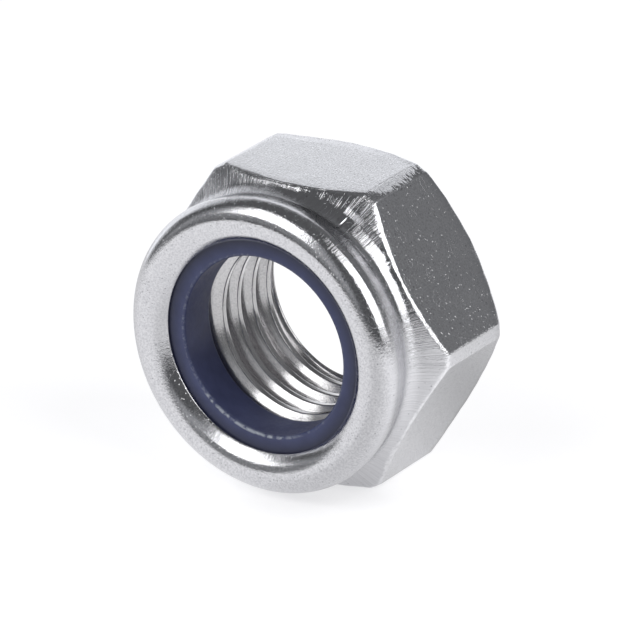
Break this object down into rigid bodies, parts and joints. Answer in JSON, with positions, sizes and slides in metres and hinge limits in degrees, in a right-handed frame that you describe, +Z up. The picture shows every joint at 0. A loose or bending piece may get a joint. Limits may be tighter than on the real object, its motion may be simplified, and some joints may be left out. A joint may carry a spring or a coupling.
{
  "type": "nylon insert lock nut",
  "caption": "Hexagonal stainless lock nut with chamfered flats, a rolled collar that grips a blue nylon ring, and a coarse metric thread.",
  "frame": {"origin": "on the thread axis, in the plane of the bearing face", "axes": "+Y along the thread axis, out of the bearing face; the collar points to -Y; +Z up, out of the top flat; the nut lies on its lowest flat"},
  "size_m": [0.0339, 0.0187, 0.03],
  "materials": {
    "stainless_steel": "bright cold formed, fine forming marks",
    "blue_nylon": "satin moulded nylon"
  },
  "bodies": {
    "root": {"nut_body": "stainless_steel", "nylon_insert": "blue_nylon"}
  },
  "joints": []
}
